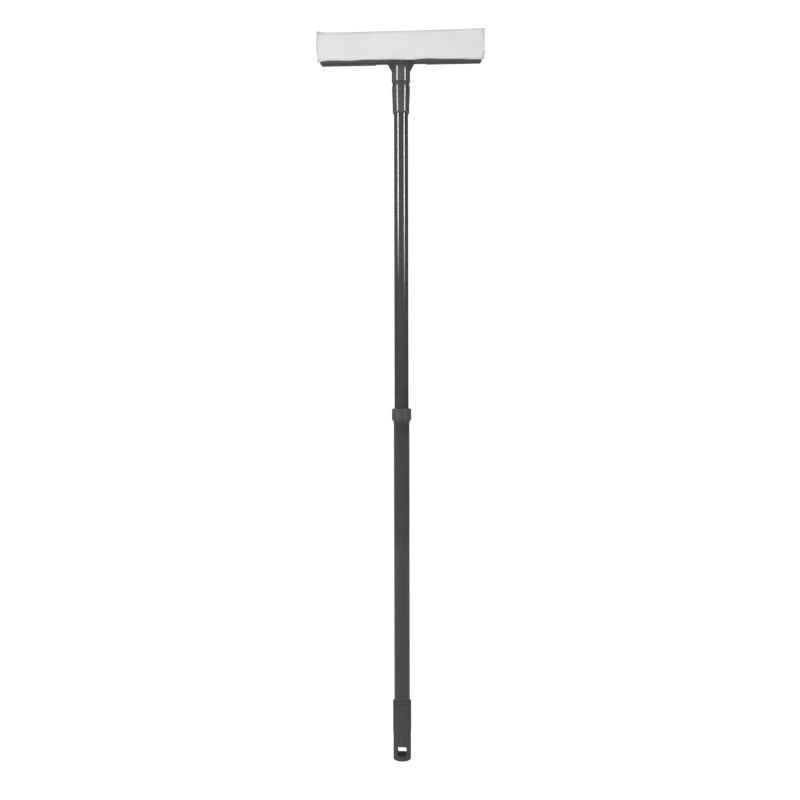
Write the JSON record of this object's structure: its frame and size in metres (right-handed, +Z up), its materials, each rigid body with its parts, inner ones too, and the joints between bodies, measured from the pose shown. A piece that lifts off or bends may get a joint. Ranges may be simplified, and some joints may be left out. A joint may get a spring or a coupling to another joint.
{
  "type": "telescopic window squeegee",
  "caption": "Window squeegee with a mesh-covered washing pad in front and a rubber blade behind, on a telescopic pole with a twist lock and a hanging slot in the grip.",
  "frame": {"origin": "on the pole's axis at the lower edge of the grip's straight barrel", "axes": "+Z up the pole towards the head, +X along the head, -Y towards the washing pad, +Y towards the rubber blade"},
  "size_m": [0.256, 0.051, 1.1081],
  "materials": {
    "grip_plastic": "fine moulded grain",
    "pole_paint": "satin anthracite powder coat",
    "collar_plastic": "satin moulded",
    "bush_plastic": "smooth moulded",
    "lock_plastic": "smooth moulded",
    "screw_steel": "zinc plated",
    "stud_plastic": "smooth moulded",
    "ferrule_plastic": "semi-gloss moulded",
    "washer_rubber": "matt",
    "head_plastic": "semi-gloss moulded",
    "board_plastic": "moulded",
    "foam": "open-cell foam",
    "mesh_fabric": "honeycomb mesh knit",
    "hem_tape": "folded tape",
    "edge_tape": "woven binding",
    "hook_tape": "hook tape",
    "holder_metal": "satin black anodised",
    "blade_rubber": "matt"
  },
  "bodies": {
    "lower_pole": {"end_grip": "grip_plastic", "lower_tube": "pole_paint", "lock_collar": "collar_plastic", "collar_bush": "bush_plastic"},
    "lock_guide": {"guide_ring": "lock_plastic"},
    "upper_pole": {"upper_tube": "pole_paint", "lock_plug": "lock_plastic", "cam_keeper": "lock_plastic", "keeper_screw": "screw_steel", "thread_plug": "stud_plastic", "pole_ferrule": "ferrule_plastic"},
    "cam": {"lock_cam": "lock_plastic"},
    "neck": {"neck_washer": "washer_rubber"},
    "head": {"head_body": "head_plastic", "pad_board": "board_plastic", "hook_strip": "hook_tape", "foam_pad": "foam", "pad_cover": "mesh_fabric", "cover_hem": "hem_tape", "cover_binding_left": "edge_tape", "cover_binding_right": "edge_tape", "blade_holder": "holder_metal", "rubber_blade": "blade_rubber", "blade_clip_left": "screw_steel", "blade_clip_right": "screw_steel", "head_screws": "screw_steel"}
  },
  "joints": [
    {"name": "telescope_slide", "type": "slide", "parent": "lower_pole", "child": "lock_guide", "axis": [0, 0, 1], "range_m": [-0.43, 0]},
    {"name": "pole_twist", "type": "hinge", "parent": "lock_guide", "child": "upper_pole", "pos_m": [0, 0, 0.4446], "axis": [0, 0, 1], "range_deg": [-128, 0]},
    {"name": "cam_turn", "type": "hinge", "parent": "upper_pole", "child": "cam", "pos_m": [0.00048, 0.00099, 0.4312], "axis": [0, 0, 1], "range_deg": [-4, 132]},
    {"name": "head_lift", "type": "slide", "parent": "upper_pole", "child": "neck", "axis": [0, 0, 1], "range_m": [0, 0.0205]},
    {"name": "head_unscrew", "type": "hinge", "parent": "neck", "child": "head", "pos_m": [0, 0, 0.98655], "axis": [0, 0, 1], "range_deg": [0, 1440]}
  ],
  "couplings": [
    {"joint": "cam_turn", "follows": "pole_twist", "ratio": -1},
    {"joint": "head_lift", "follows": "head_unscrew", "m_per_rad": 0.00079577}
  ]
}
